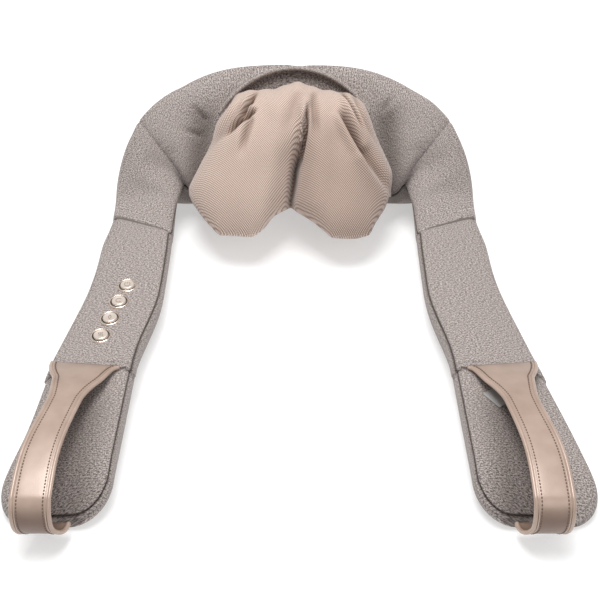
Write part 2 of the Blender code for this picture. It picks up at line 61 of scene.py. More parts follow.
# ---------------- the collar cover
# The collar is foam under a melange cloth cover, cut in a front panel, a back panel and a foot, with mitred seams
# at its two shoulders. It stands up round the wearer's nape and holds the massage unit.
CENTRE_Y = 0.00176
SHOULDER_Y = 0.125 + CENTRE_Y
SEAM_Y = 0.1155 + CENTRE_Y
COLLAR_HALF_WIDE = 0.1985
COLLAR_DEPTH = 0.118
COLLAR_HIGH = 0.161
OUTER_ROUND = 0.71
INNER_ROUND = 0.55
INNER_SCOOP = 0.030
INNER_HALF_WIDE = 0.131
INNER_HIGH = 0.039
OUTER_HIGH = 0.031
FACE_LEAN = math.radians(54.0)
FACE_FOOT = np.array((0.0, 0.137 + CENTRE_Y, 0.012))
FACE_UP = np.array((0.0, math.cos(FACE_LEAN), math.sin(FACE_LEAN)))
FACE_OUT = np.array((0.0, -math.sin(FACE_LEAN), math.cos(FACE_LEAN)))
MITRE = math.radians(36.0)
SEAM_SLANT = 0.034
RING_STEPS = 24
COLLAR_GIRTH = 0.17
RING_PLACE = (np.arange(11 * RING_STEPS) + 0.5) / RING_STEPS - 0.5


def step(value):
    """Smooth step: 0 below 0, 1 above 1, 3t^2 - 2t^3 between."""
    t = np.clip(value, 0.0, 1.0)
    return t * t * (3.0 - 2.0 * t)


def bump(value):
    """A bell of height 1: exp(-t^2)."""
    return np.exp(-np.square(value))


def soft_loop(control, steps):
    """Closed quadratic B-spline through the middles of a control loop: (1-t)^2/2, 1/2+t-t^2, t^2/2 per corner."""
    t = (np.arange(steps) + 0.5) / steps
    weights = np.stack((0.5 * (1.0 - t) ** 2, 0.5 + t - t * t, 0.5 * t * t))
    near = np.stack((np.roll(control, 1, axis=-2), control, np.roll(control, -1, axis=-2)))
    ring = np.einsum("ws,w...kc->...ksc", weights, near)
    return ring.reshape(*control.shape[:-2], -1, control.shape[-1])


def pad_ring(width, inner_high, outer_high, bulge, undercut, lip=0.45):
    """A cushion's section, one row per station: (distance from the inner edge, height) round eleven corners."""
    zero = np.zeros_like(width)
    rise = outer_high - inner_high
    corners = (
        (0.40 * (undercut - 0.010), lip * inner_high),
        (zero, inner_high - 0.004),
        (0.10 * width, inner_high + 0.10 * rise),
        (0.50 * width, inner_high + 0.50 * rise),
        (0.92 * width, inner_high + 0.92 * rise),
        (width, outer_high - 0.004),
        (width + 0.75 * bulge, 0.60 * outer_high),
        (width + 0.90 * bulge, 0.30 * outer_high),
        (width + 0.50 * bulge - 0.002, zero),
        (np.maximum(0.6 * width, undercut + 0.012), zero),
        (undercut, zero),
    )
    control = np.stack([np.stack(np.broadcast_arrays(a, b), axis=-1) for a, b in corners], axis=-2)
    return soft_loop(control, RING_STEPS)


def outward(points, wrap=True):
    """Unit normals of a grid of points, from the cross product of its two directions."""
    along = np.gradient(points, axis=0)
    across = np.roll(points, -1, axis=1) - np.roll(points, 1, axis=1) if wrap else np.gradient(points, axis=1)
    normal = np.cross(along, across)
    normal /= np.maximum(np.linalg.norm(normal, axis=-1, keepdims=True), 1e-12)
    middle = points.mean(axis=1, keepdims=True)
    return normal * np.sign(np.sum(normal * (points - middle), axis=(0, 1, 2)))


def run(points, axis, wrap=False):
    """Distance run along a grid's rows or columns, for laying cloth on it."""
    if wrap:
        points = np.concatenate((points, points[:, :1]), axis=1)
    length = np.linalg.norm(np.diff(points, axis=axis), axis=-1)
    start = np.zeros_like(np.take(length, [0], axis=axis))
    return np.concatenate((start, np.cumsum(length, axis=axis)), axis=axis)


def lay(name, points, wrap=True, caps=True, seam_and_painted_shade=None, grain=(None, None)):
    """A mesh on a grid of points: quads between rows, closed round if wrap, with a fan over each end if caps.

    Its UV map is the distance run across and along in metres, or grain's own two. The darkening values, for sewn
    lines and painted shade, darken the cloth.
    """
    rows, columns = points.shape[:2]
    r, c = np.meshgrid(np.arange(rows - 1), np.arange(columns if wrap else columns - 1), indexing="ij")
    nxt = (c + 1) % columns
    ahead = (r + 1) * columns
    quads = np.stack((r * columns + c, r * columns + nxt, ahead + nxt, ahead + c), axis=-1)
    quads = quads.reshape(-1, 4)
    threads = []
    for given, axis in zip(grain, (1, 0)):
        length = given if given is not None else run(points, axis, wrap and axis == 1)
        if wrap and length.shape[1] == columns:
            length = np.concatenate((length, length[:, :1]), axis=1)
        threads.append(length)
    corner = ((r, c), (r, c + 1), (r + 1, c + 1), (r + 1, c))
    uv = np.stack([np.stack([length[i, j] for length in threads], axis=-1) for i, j in corner], axis=2)
    uv = uv.reshape(-1, 4, 2)
    flat = points.reshape(-1, 3)
    p = flat[quads] - flat.mean(axis=0)
    volume = np.sum(np.cross(p[:, 0], p[:, 1]) * p[:, 2]) + np.sum(np.cross(p[:, 0], p[:, 2]) * p[:, 3])
    turn = slice(None, None, -1) if volume < 0.0 else slice(None)
    faces = quads[:, turn].tolist()
    uvs = uv[:, turn].reshape(-1, 2)
    if wrap and caps:
        middles = np.stack((points[0].mean(axis=0), points[-1].mean(axis=0)))
        k = np.arange(columns)
        first = np.stack((k, np.full(columns, rows * columns), (k + 1) % columns), axis=-1)
        last = first[:, ::-1] + np.array((0, 1, 0)) + np.array((1, 0, 1)) * (rows - 1) * columns
        fans = np.concatenate((first, last))[:, turn]
        flat = np.concatenate((flat, middles))
        faces += fans.tolist()
        uvs = np.concatenate((uvs, np.zeros((fans.size, 2))))
    mesh = bpy.data.meshes.new(name)
    mesh.from_pydata(flat.tolist(), [], faces)
    mesh.uv_layers.new(name="cloth").data.foreach_set("uv", uvs.ravel().astype(np.float32))
    # The darkening attribute holds dark seam lines and painted shade; darkened() reads it.
    if seam_and_painted_shade is not None:
        full = np.zeros(len(flat), np.float32)
        full[: seam_and_painted_shade.size] = seam_and_painted_shade.ravel()
        mesh.attributes.new("seam_and_painted_shade", "FLOAT", "POINT").data.foreach_set("value", full)
    mesh.polygons.foreach_set("use_smooth", np.ones(len(mesh.polygons), bool))
    mesh.update()
    piece = bpy.data.objects.new(name, mesh)
    bpy.context.scene.collection.objects.link(piece)
    return piece


def collar_rings(theta):
    """Rings of the collar at angles round it, the outer edge on a squarish arch, the inner edge on a flat one."""
    c = np.abs(np.cos(theta)) ** 1.408
    s = np.sqrt(1.0 - c * c)
    side = np.sign(np.cos(theta) + 1e-9)
    reach = (side * COLLAR_HALF_WIDE * c**OUTER_ROUND, SHOULDER_Y + COLLAR_DEPTH * s**OUTER_ROUND)
    outer = np.stack(reach, axis=-1)
    turn = np.arcsin(s)
    slack = 0.0022 * bump((turn - 1.02) / 0.24) - 0.0012 * bump((turn - MITRE) / 0.07)
    outer = outer - slack[:, None] * np.stack((side * c, s), axis=-1)
    scoop = INNER_SCOOP * bump((s - 0.48) / 0.16) * step(s / 0.25)
    scoop = scoop + 0.016 * bump((s - 0.20) / 0.13) * step(s / 0.10)
    inner = np.stack((side * INNER_HALF_WIDE * c**INNER_ROUND, SHOULDER_Y + 0.030 * s**0.8 + scoop), axis=-1)
    rising = COLLAR_HIGH - (SHOULDER_Y + COLLAR_DEPTH - outer[:, 1]) * math.tan(FACE_LEAN)
    outer_high = 0.5 * (OUTER_HIGH + rising + np.sqrt((OUTER_HIGH - rising) ** 2 + 0.02**2))
    inner_high = INNER_HIGH + 0.012 * 2.0 * s * c - 0.002 * s
    width = np.linalg.norm(outer - inner, axis=-1)
    way = (outer - inner) / width[:, None]
    bulge = 0.004 + 0.025 * step(1.15 * s)
    thin = bump((s - 0.5) / 0.22)
    undercut = 0.010 + 0.041 * step(s) + 0.026 * thin
    ring = pad_ring(width, inner_high, outer_high, bulge, undercut, 0.45 + 0.38 * thin)
    plan = inner[:, None, :] + ring[..., :1] * way[:, None, :]
    lean = SEAM_SLANT * (ring[..., 0] / width[:, None] - 0.5) * (1.0 - step(s / 0.55))[:, None]
    plan[..., 1] += lean
    return np.concatenate((plan, ring[..., 1:]), axis=-1), np.arccos(np.clip(side * c, -1.0, 1.0))


def face_place(points):
    """Coordinates on the leaning face: across, up the face and out from it."""
    offset = points - FACE_FOOT
    return points[..., 0], offset @ FACE_UP, offset @ FACE_OUT


RIB_PITCH = 0.0024


def plain(name, **settings):
    """A new material with these settings on its shader's own sockets; it returns the material, tree and shader."""
    material = bpy.data.materials.new(name)
    material.use_nodes = True
    tree = material.node_tree
    shader = tree.nodes["Principled BSDF"]
    for socket, value in settings.items():
        shader.inputs[socket.replace("_", " ")].default_value = value
    return material, tree, shader


def raised(tree, height, strength, distance):
    """The height as a relief on the shader's normal."""
    relief = tree.nodes.new("ShaderNodeBump")
    relief.inputs["Strength"].default_value = strength
    relief.inputs["Distance"].default_value = distance
    tree.links.new(height, relief.inputs["Height"])
    tree.links.new(relief.outputs["Normal"], tree.nodes["Principled BSDF"].inputs["Normal"])


def toned(tree, value, tones):
    """A value turned into colour by tones, pairs of position and colour; it returns the colour's output."""
    ramp = tree.nodes.new("ShaderNodeValToRGB")
    for k, (place, colour) in enumerate(tones):
        stop = ramp.color_ramp.elements[k] if k < 2 else ramp.color_ramp.elements.new(place)
        stop.position = place
        stop.color = (*colour, 1.0)
    tree.links.new(value, ramp.inputs["Fac"])
    return ramp.outputs["Color"]


def darkened(tree, colour, deep):
    """The colour multiplied by deep where the mesh's darkening attribute, for sewn lines and painted shade, is 1,
    as the shader's base colour.
    """
    seam_and_painted_shade = tree.nodes.new("ShaderNodeAttribute")
    seam_and_painted_shade.attribute_name = "seam_and_painted_shade"
    shade = tree.nodes.new("ShaderNodeMix")
    shade.data_type = "RGBA"
    shade.blend_type = "MULTIPLY"
    shade.inputs[7].default_value = (*deep, 1.0)
    tree.links.new(seam_and_painted_shade.outputs["Fac"], shade.inputs[0])
    tree.links.new(colour, shade.inputs[6])
    tree.links.new(shade.outputs[2], tree.nodes["Principled BSDF"].inputs["Base Color"])


def melange_cloth(name):
    """Grey melange: a plain weave of slubbed pale and dark yarns, so each thread changes tone along its length."""
    material, tree, _ = plain(name, Roughness=0.9, Sheen_Weight=0.12, Sheen_Roughness=0.5, Specular_IOR_Level=0.15)
    uv = tree.nodes.new("ShaderNodeUVMap")
    uv.uv_map = "cloth"

    def yarns(across, along, detail):
        stretch = tree.nodes.new("ShaderNodeMapping")
        stretch.inputs["Scale"].default_value = (across, along, 1.0)
        noise = tree.nodes.new("ShaderNodeTexNoise")
        noise.noise_dimensions = "2D"
        noise.inputs["Scale"].default_value = 1.0
        noise.inputs["Detail"].default_value = detail
        noise.inputs["Roughness"].default_value = 0.65
        tree.links.new(uv.outputs["UV"], stretch.inputs["Vector"])
        tree.links.new(stretch.outputs["Vector"], noise.inputs["Vector"])
        return noise.outputs["Fac"]

    def mixed(first, second, share):
        mix = tree.nodes.new("ShaderNodeMix")
        mix.data_type = "FLOAT"
        mix.inputs[0].default_value = share
        tree.links.new(first, mix.inputs[2])
        tree.links.new(second, mix.inputs[3])
        return mix.outputs[0]

    ribs = tree.nodes.new("ShaderNodeTexWave")
    ribs.bands_direction = "Y"
    ribs.inputs["Scale"].default_value = 0.31416 / RIB_PITCH
    ribs.inputs["Distortion"].default_value = 2.2
    ribs.inputs["Detail"].default_value = 1.0
    ribs.inputs["Detail Scale"].default_value = 1.5
    tree.links.new(uv.outputs["UV"], ribs.inputs["Vector"])
    threads = mixed(yarns(1350.0, 640.0, 1.0), yarns(470.0, 1250.0, 1.0), 0.60)
    blend = mixed(mixed(threads, yarns(1100.0, 1100.0, 2.0), 0.35), ribs.outputs["Fac"], 0.035)
    tones = ((0.39, (0.085, 0.071, 0.065)), (0.61, (0.540, 0.484, 0.458)), (0.50, (0.285, 0.246, 0.230)))
    # Where the darkening attribute is 1 this cloth goes down to the deep tone: dark seam lines and painted shade.
    darkened(tree, toned(tree, blend, tones), (0.16, 0.14, 0.13))
    raised(tree, blend, 0.3, 0.0006)
    return material


def crease(x, s, start, end, width, depth, ridge=0.5):
    """A pleat: a sharp valley on a line from start to end, fading at its far end, with a soft ridge beside it."""
    a, b = np.array(start), np.array(end)
    way = (b - a) / np.linalg.norm(b - a)
    along = ((x - a[0]) * way[0] + (s - a[1]) * way[1]) / np.linalg.norm(b - a)
    away = (x - a[0]) * way[1] - (s - a[1]) * way[0]
    fade = step((along + 0.12) / 0.2) * step((1.15 - along) / 0.7)
    return depth * fade * (ridge * bump((away - 2.1 * width) / (1.5 * width)) - bump(away / width))


def ring_mark(corner, width):
    """How near each ring column is to one of the section's corners: a bell, width in corner spacings."""
    gap = np.abs(RING_PLACE - corner)
    return bump(np.minimum(gap, 11.0 - gap) / width)


ARCH_HALF_WIDE = 0.100
ARCH_S = 0.060
ARCH_RISE = 0.1135
LINING_S = 0.146


def arch_depth(x, s):
    """Positive inside the opening's arch: 1 - (x/a)^2 - ((s-s0)/b)^2, with straight sides below s0."""
    up = np.maximum(s - ARCH_S, 0.0) / ARCH_RISE
    return 1.0 - (x / ARCH_HALF_WIDE) ** 2 - up**2


def carried(values, rows, columns, shape):
    """A coarse grid's values on the full grid: linear between its rows, and round between its columns."""
    r = np.interp(np.arange(shape[0]), rows, np.arange(len(rows)))
    c = np.arange(shape[1]) * len(columns) / shape[1]
    r0, c0 = np.minimum(r.astype(int), len(rows) - 2), c.astype(int)
    fr, fc = (r - r0)[:, None, None], (c - c0)[None, :, None]
    c1 = (c0 + 1) % len(columns)
    low = values[r0][:, c0] * (1.0 - fc) + values[r0][:, c1] * fc
    high = values[r0 + 1][:, c0] * (1.0 - fc) + values[r0 + 1][:, c1] * fc
    return low * (1.0 - fr) + high * fr


def softened(values, passes):
    """Each value averaged with its neighbours in both directions, a few times over."""
    for _ in range(passes):
        edge = np.concatenate((values[:1], values, values[-1:]))
        values = 0.25 * edge[:-2] + 0.5 * values + 0.25 * edge[2:]
        values = 0.25 * np.roll(values, 1, axis=1) + 0.5 * values + 0.25 * np.roll(values, -1, axis=1)
    return values


def filled(points, held, pressure, travel):
    """How the sewn cover moves when it is filled: every fourth ring simulated as cloth under pressure.

    held is 1 where a seam or a part behind it holds the cloth. No point moves further than travel.
    """
    rows = np.unique(np.append(np.arange(0, len(points), 4), len(points) - 1))
    columns = np.arange(0, points.shape[1], 4)
    coarse = points[rows][:, columns]
    cloth = lay("filling", coarse)
    group = cloth.vertex_groups.new(name="held")
    weight = np.append(held[rows][:, columns].ravel(), (1.0, 1.0))
    for level in np.unique(np.round(weight, 1)):
        group.add(np.flatnonzero(np.round(weight, 1) == level).tolist(), float(level), "REPLACE")
    settings = cloth.modifiers.new("cloth", "CLOTH").settings
    settings.quality = 6
    settings.mass = 0.25
    settings.tension_stiffness = 12.0
    settings.compression_stiffness = 12.0
    settings.shear_stiffness = 4.0
    settings.bending_stiffness = 0.4
    settings.use_pressure = True
    settings.uniform_pressure_force = pressure
    settings.vertex_group_mass = "held"
    settings.effector_weights.gravity = 0.0
    scene = bpy.context.scene
    for number in range(1, 21):
        scene.frame_set(number)
    moved = cloth.evaluated_get(bpy.context.evaluated_depsgraph_get()).to_mesh()
    place = np.empty(3 * len(moved.vertices), np.float32)
    moved.vertices.foreach_get("co", place)
    scene.frame_set(1)
    bpy.data.objects.remove(cloth)
    shift = place.reshape(-1, 3)[: coarse.shape[0] * coarse.shape[1]].reshape(coarse.shape) - coarse
    length = np.linalg.norm(shift, axis=-1, keepdims=True)
    shift *= np.minimum(1.0, travel / np.maximum(length, 1e-9))
    return softened(carried(shift, rows, columns, points.shape[:2]), 3)


def collar_cover():
    """The collar's rings with rounded ends at the seams, filled, then creased, sunk at the lining and beside the
    bag, with darkened sewn lines and painted shade.
    """
    theta = np.linspace(0.0, math.pi, 201)
    rings, turn = collar_rings(theta)
    ends = np.array((0.0, 0.0008, 0.002, 0.004, 0.0065))
    drop = (SHOULDER_Y - SEAM_Y - 0.0006) - ends
    tuck = 1.0 - 0.06 * (1.0 - np.sqrt(1.0 - (1.0 - ends / 0.0066) ** 2))
    start = rings[:1] - drop[:, None, None] * np.array((0.0, 1.0, 0.0))
    finish = rings[-1:] - drop[::-1, None, None] * np.array((0.0, 1.0, 0.0))
    rings = np.concatenate((start, rings, finish))
    turn = np.concatenate((np.zeros(5), turn, np.full(5, math.pi)))
    tuck = np.concatenate((tuck, np.ones(len(theta)), tuck[::-1]))
    weave = COLLAR_GIRTH * turn + np.concatenate((-drop, np.zeros(len(theta)), drop[::-1]))
    middle = rings.mean(axis=1, keepdims=True)
    shrink = (rings - middle) * np.array((1.0, 0.0, 1.0))
    rings = rings - shrink * (1.0 - tuck[:, None, None])
    out = outward(rings)
    fold = np.minimum(np.abs(turn - MITRE), np.abs(turn - math.pi + MITRE))
    front = np.clip(ring_mark(3.0, 1.3) + ring_mark(2.0, 1.0) + ring_mark(4.0, 1.0), 0.0, 1.0)
    mitre = bump(fold / math.radians(0.55))[:, None] * np.clip(front + ring_mark(6.0, 1.0), 0.0, 1.0)
    edge = ring_mark(1.0, 0.12)[None, :] * np.ones((len(rings), 1))
    crown = 0.0022 * front[None, :] * (1.0 - 0.7 * bump(fold / math.radians(4.0)))[:, None]
    pucker = 0.00025 * np.sin(np.arange(11 * RING_STEPS) * 0.9)[None, :] * bump(fold / math.radians(5.0))[:, None]
    x, s, h = face_place(rings)
    in_front = step((h + 0.030) / 0.012) * step((4.9 - RING_PLACE) / 0.3)[None, :]
    opening = arch_depth(x, s) * in_front
    lining = step(opening / 0.07) * step((s - LINING_S) / 0.004)
    # A strip along the bag's sides, sunk into the face and darkened as painted shade.
    bag_side = 0.100 + 0.15 * np.maximum(0.0, 0.10 - s)
    beside = bump((np.abs(x) - bag_side) / 0.015) * step((s + 0.005) / 0.03) * step((0.145 - s) / 0.035) * in_front
    tucks = (
        crease(x, s, (-0.098, 0.118), (-0.112, 0.134), 0.0028, 0.0030)
        + crease(x, s, (-0.103, 0.100), (-0.124, 0.108), 0.0034, 0.0026)
        + crease(x, s, (0.080, 0.148), (0.0795, 0.166), 0.0030, 0.0020)
        + crease(x, s, (0.098, 0.128), (0.110, 0.146), 0.0028, 0.0034)
    ) * in_front
    held = np.clip(step(opening / 0.02) + 1.5 * edge + 1.5 * ring_mark(6.3, 0.25) + 1.2 * mitre, 0.0, 1.0)
    held = np.maximum(held, step((0.006 - rings[..., 2]) / 0.003))
    held[:6], held[-6:] = 1.0, 1.0
    rings = rings + filled(rings, held, 5.0, 0.006)
    rings = rings + out * (crown + pucker * front + tucks - 0.0011 * mitre - 0.0014 * edge)[..., None]
    rings = rings - FACE_OUT * (0.008 * lining + 0.006 * beside)[..., None]
    # Painted shade in dark: deeper in the lining, deepest just under the hem, beside the bag and along the top
    # edge where the face turns away; mitre and edge darken the seam lines.
    under_hem_shade = lining * bump((opening - 0.05) / 0.10)
    top_edge_shade = 0.22 * bump(x / 0.06) * step((s - 0.172) / 0.006) * in_front
    dark = np.clip(0.30 * mitre + edge + 0.62 * beside + 0.25 * lining + 0.45 * under_hem_shade + top_edge_shade, 0.0, 1.0)
    cover = lay("collar_cover", rings, seam_and_painted_shade=dark, grain=(None, weave[:, None] * np.ones((1, rings.shape[1]))))
    cover.data.materials.append(CLOTH)
    return cover


CLOTH = melange_cloth("grey_melange_cloth")
collar = collar_cover()
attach(collar, "neck")
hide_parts("neck_pad")


# ---------------- the arch's piped hem
# The front panel's opening is finished with a folded hem over a cord, so it stands proud of the lining behind.
HEM_RADIUS = 0.0021


def tube(name, path, radius, sides=12, flatten=1.0):
    """A round cord along a path: each ring is path + radius (cos a side + sin a up), ends closed."""
    way = np.gradient(path, axis=0)
    way /= np.linalg.norm(way, axis=1, keepdims=True)
    side = np.cross(way, FACE_OUT)
    side /= np.linalg.norm(side, axis=1, keepdims=True)
    up = np.cross(side, way)
    a = 2.0 * math.pi * np.arange(sides) / sides
    radius = np.broadcast_to(radius, len(path))[:, None, None]
    ring = np.cos(a)[None, :, None] * side[:, None, :] + flatten * np.sin(a)[None, :, None] * up[:, None, :]
    return lay(name, path[:, None, :] + radius * ring)


def on_face(x, s, h):
    """Back from the leaning face's coordinates to a place: foot + x across + s up + h out."""
    return FACE_FOOT + x[..., None] * np.array((1.0, 0.0, 0.0)) + s[..., None] * FACE_UP + h[..., None] * FACE_OUT


def arch_path(count, out):
    a = np.linspace(math.radians(35.0), math.radians(145.0), count)
    tuck = 0.004 * step((np.abs(np.cos(a)) - 0.72) / 0.2)
    return on_face(ARCH_HALF_WIDE * np.cos(a), ARCH_S + ARCH_RISE * np.sin(a), out + 0.003 * np.cos(a) ** 2 - tuck)


hem = tube("arch_hem_cord", arch_path(160, 0.0045), HEM_RADIUS)
hem.data.materials.append(CLOTH)
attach(hem, "neck")
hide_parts("arch_hem")


# ---------------- the arm covers
# Each arm is a flat foam pad in the same cloth: a top panel, a narrow side wall and a foot panel. The pads widen
# towards their ends, where a lower pocket panel starts under a cross hem.
ARM_END_Y = -0.250 + CENTRE_Y
HEM_Y = -0.1005 + CENTRE_Y
END_ROUND = 0.034
END_SLOPE = 0.050
END_SHARE = 0.38
SEAM_INSET = 0.0026
STRAP_MIDDLE = 0.188


def arm_edges(y, side):
    """Distance of the pad's inner and outer edge from the middle. The two pads are cut a little differently."""
    y = y - CENTRE_Y
    inner = INNER_HALF_WIDE + 0.001 + 0.016 * step((0.01 - y) / 0.11) + 0.03 * np.maximum(0.0, -0.10 - y)
    ease = 0.045 - y
    outer = 0.2015 + 0.19 * 0.5 * (ease + np.sqrt(ease**2 + 0.05**2)) - 0.0025 * bump((y - 0.02) / 0.06)
    outer = outer + (-0.008 if side < 0.0 else 0.003) * step((-0.06 - y) / 0.12)
    outer = outer - 0.0050 * step((y - 0.075) / 0.040)
    past = np.clip((ARM_END_Y - CENTRE_Y + END_ROUND - y) / END_ROUND, 0.0, 0.9999)
    inward = 0.030 * (1.0 - np.sqrt(1.0 - past**2))
    return inner + inward, outer - 1.15 * inward


def arm_rings(y, side):
    """The pad's rings. Its top comes down to a thin edge over the last END_SLOPE of its length."""
    inner, outer = arm_edges(y, side)
    width = outer - inner
    lean = 0.5 * step((0.12 + CENTRE_Y - y) / 0.3)
    wall = np.full_like(y, 0.004)
    ring = pad_ring(width, INNER_HIGH + 0.004 * lean, OUTER_HIGH - 0.002 * lean, wall, wall + 0.006)
    start = np.clip((SEAM_Y - 0.0006 - y) / 0.0066, 0.0, 1.0)
    past = np.clip((y - ARM_END_Y) / END_SLOPE, 0.0, 1.0)
    slope = END_SHARE + (1.0 - END_SHARE) * np.sin(0.5 * math.pi * past) ** 0.9
    tip = np.clip((y - ARM_END_Y) / 0.0035, 0.0, 1.0)
    keep = 1.0 - 0.06 * (1.0 - np.sqrt(1.0 - (1.0 - start) ** 2))
    keep = keep * np.sqrt(np.maximum(1.0 - (1.0 - tip) ** 2, 0.0005))
    foot = 0.004
    z = ring[..., 1] * slope[:, None]
    z = foot + (z - foot) * keep[:, None]
    fraction = ring[..., 0] / width[:, None]
    lean_y = SEAM_SLANT * (fraction - 0.5) * (1.0 - step((SEAM_Y - y) / 0.07))[:, None]
    return np.stack((inner[:, None] + ring[..., 0], y[:, None] + lean_y, z), axis=-1), fraction


def edge_distance(points, line):
    """Plan distance of each point from a line of short straight pieces."""
    a, way = line[:-1], np.diff(line, axis=0)
    offset = points[..., None, :] - a
    t = np.clip(np.sum(offset * way, axis=-1) / np.maximum(np.sum(way * way, axis=-1), 1e-12), 0.0, 1.0)
    return np.linalg.norm(offset - t[..., None] * way, axis=-1).min(axis=-1)


def arm_cover(side):
    """One arm's rings, filled, with the seam line sunk in, raised above the cross hem and over the strap, and with
    the strap's shadow painted on the pad.
    """
    near = SEAM_Y - 0.0006 - np.array((0.0, 0.0008, 0.002, 0.004, 0.0065))
    below = np.array((0.0007, 0.0015, 0.0025, 0.004, 0.006))
    hem_rows = HEM_Y + np.concatenate((below[::-1], [0.0], -below))
    upper = np.linspace(near[-1] - 0.003, hem_rows[0] + 0.003, 68)
    lower = np.linspace(hem_rows[-1] - 0.003, ARM_END_Y + 0.020, 44)
    tip = ARM_END_Y + 0.0185 * (1.0 - np.sin(np.linspace(0.0, 0.5 * math.pi, 26)))
    y = np.concatenate((near, upper, hem_rows, lower, tip))
    rings, fraction = arm_rings(y, side)
    round_end = ARM_END_Y + 0.038 * (1.0 - np.sin(np.linspace(0.05, 1.57, 16)))
    edge_y = np.concatenate((np.linspace(SEAM_Y + 0.02, -0.21, 24), round_end))
    inner, outer = arm_edges(edge_y, side)
    outline = np.concatenate((np.stack((inner, edge_y), -1), np.stack((outer, edge_y), -1)[::-1]))
    gap = edge_distance(rings[..., :2], outline)
    upper_side = ((RING_PLACE > 0.55) & (RING_PLACE < 5.6))[None, :]
    seam_line = bump((gap - SEAM_INSET) / 0.0007) * upper_side
    out = outward(rings)
    top = np.clip(ring_mark(3.0, 1.4) + ring_mark(2.0, 0.9) + ring_mark(4.0, 0.9), 0.0, 1.0)
    ends = step((SEAM_Y - y) / 0.04) * step((y - ARM_END_Y) / 0.04)
    keys = step((0.055 - np.abs(y + 0.022)) / 0.02) if side < 0 else 0.0 * y
    crown = 0.0012 * top[None, :] * (ends * (1.0 - keys))[:, None]
    hem_curve = y[:, None] + 0.004 * np.abs(2.0 * fraction - 1.0) ** 4
    above = step((hem_curve - HEM_Y + 0.0004) / 0.0008) * upper_side
    line = bump((hem_curve - HEM_Y + 0.0012) / 0.0009) * upper_side
    fold_line = bump((hem_curve - HEM_Y - 0.0045) / 0.0006) * upper_side
    held = 1.4 * bump((gap - SEAM_INSET) / 0.002) * upper_side + 1.3 * bump((hem_curve - HEM_Y) / 0.004)
    held = np.maximum(np.clip(held, 0.0, 1.0), step((0.007 - rings[..., 2]) / 0.003))
    held = np.maximum(held, keys[:, None] * (rings[..., 2] > 0.026))
    held[:5], held[-8:] = 1.0, 1.0
    mirror = np.array((side, 1.0, 1.0))
    rings = rings + filled(rings, held, 5.0, 0.006)
    strap_root = 0.0024 * bump((rings[..., 0] - STRAP_MIDDLE) / 0.034) * bump((y - HEM_Y) / 0.022)[:, None]
    dent = 0.0011 * seam_line + 0.0007 * line + 0.0003 * fold_line
    rings = rings + out * (crown + (0.0013 + strap_root) * above - dent)[..., None]
    # Painted shadow of the strap on the pad, beside the strap below the cross hem.
    painted_strap_shadow = 0.55 * bump((rings[..., 0] - 0.183) / 0.019) * step((HEM_Y - 0.008 - y) / 0.05)[:, None] * upper_side
    dark = seam_line * (1.0 - 0.85 * step((fraction - 0.45) / 0.3)) + 0.9 * line + 0.35 * fold_line + painted_strap_shadow
    name = "arm_cover_left" if side < 0 else "arm_cover_right"
    cover = lay(name, rings * mirror, seam_and_painted_shade=np.clip(dark, 0.0, 1.0), grain=(None, rings[..., 1]))
    cover.data.materials.append(CLOTH)
    return cover


for side, word in ((-1.0, "left"), (1.0, "right")):
    arm = arm_cover(side)
    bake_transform(arm)
    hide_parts("arm_pad_" + word)


# ---------------- the massage cover
# A bag of beige mesh cloth over the four massage heads, pleated into the opening at its top corners and pinched
# between the two lobes. Its edges are sewn to the housing's rim, and the lobes hang a little below it.
BAG_LEFT = 0.1155
BAG_RIGHT = 0.1065
BAG_RISE = 0.0735
BAG_LOW = 0.034
BAG_HIGH = 0.1512


def bag_hang(x):
    """How low the bag hangs at each place across: two flat-bottomed lobes with a sharp notch between them."""
    place = (-0.1155, -0.110, -0.0995, -0.0863, -0.080, -0.0444, -0.0328, -0.0213, -0.0039)
    place += (0.0157, 0.0295, 0.0387, 0.0665, 0.0803, 0.0860, 0.0987, 0.1065)
    low = (0.0360, 0.0245, 0.0120, -0.0003, -0.0065, -0.0065, 0.0015, 0.0178, 0.0295)
    low += (0.0155, 0.0015, -0.0077, -0.0088, -0.0065, 0.0060, 0.0230, 0.0450)
    near = np.linspace(-0.0022, 0.0022, 9)
    return np.interp(x[..., None] + near, place, low).mean(axis=-1)


def cleft_place(s):
    """The line of the pinch between the lobes: it starts right of the middle and runs to its left."""
    return -0.0039 + 0.0125 * np.clip((s - 0.030) / 0.095, 0.0, 1.0) ** 0.8


